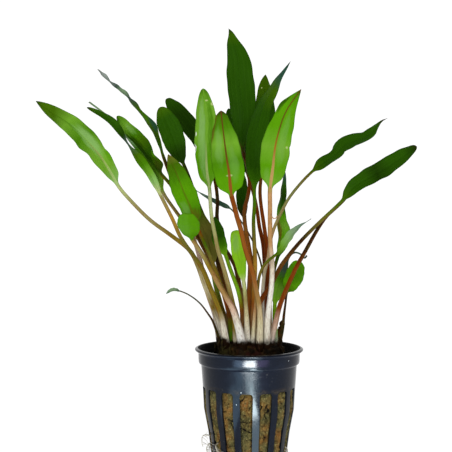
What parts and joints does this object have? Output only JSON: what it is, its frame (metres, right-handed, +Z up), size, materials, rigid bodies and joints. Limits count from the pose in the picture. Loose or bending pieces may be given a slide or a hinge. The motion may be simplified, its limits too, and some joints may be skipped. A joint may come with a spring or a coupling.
{
  "type": "potted cryptocoryne",
  "caption": "Rosette of narrow green aquarium plant leaves on long reddish petioles, rooted in rock wool in a small round slotted plastic pot that stands on its flat base.",
  "frame": {"origin": "centre of the flat underside of the pot, where it stands", "axes": "+Z up along the pot's axis, -Y towards the front from which the picture was taken, +X to its right"},
  "size_m": [0.1813, 0.0868, 0.2261],
  "materials": {
    "pot_plastic": "glossy blue-black moulded plastic",
    "rock_wool": "damp fibrous mineral wool, ochre and olive brown",
    "crown": "dark wet rootstock and old sheaths",
    "dark_leaf": "satin dark green leaf, brown to cream petiole",
    "bright_leaf": "satin light green leaf, brown to cream petiole",
    "grey_leaf": "satin grey-green leaf seen near its edge",
    "root": "pale damp root"
  },
  "bodies": {
    "root": {"pot": "pot_plastic", "rock_wool": "rock_wool", "crown": "crown", "root_left_loop": "root", "root_left_low": "root", "root_front_left": "root", "root_right_low": "root", "leaf_far_left": "bright_leaf", "leaf_low_left": "grey_leaf", "leaf_left_slender": "grey_leaf", "leaf_left_back": "grey_leaf", "leaf_left_narrow": "dark_leaf", "leaf_left_round_tip": "bright_leaf", "leaf_upper_left": "dark_leaf", "leaf_upper_left_back": "dark_leaf", "leaf_left_broad": "dark_leaf", "leaf_left_young": "bright_leaf", "leaf_left_dark_folded": "dark_leaf", "leaf_thin_grey": "grey_leaf", "leaf_centre_left_pale": "bright_leaf", "leaf_centre_left_red": "bright_leaf", "leaf_centre_young": "bright_leaf", "leaf_inner_left": "dark_leaf", "leaf_inner_dark": "dark_leaf", "leaf_centre_back": "dark_leaf", "leaf_tallest": "dark_leaf", "leaf_upper_right_back": "dark_leaf", "leaf_upper_right_curled": "dark_leaf", "leaf_centre_right": "bright_leaf", "leaf_right_wavy": "dark_leaf", "leaf_far_right": "dark_leaf", "leaf_far_right_back": "dark_leaf", "leaf_right_twisted": "dark_leaf", "leaf_right_grey": "grey_leaf", "leaf_low_right_curled": "bright_leaf", "leaf_low_right_round": "bright_leaf", "old_leaf_stub": "crown"}
  },
  "joints": []
}
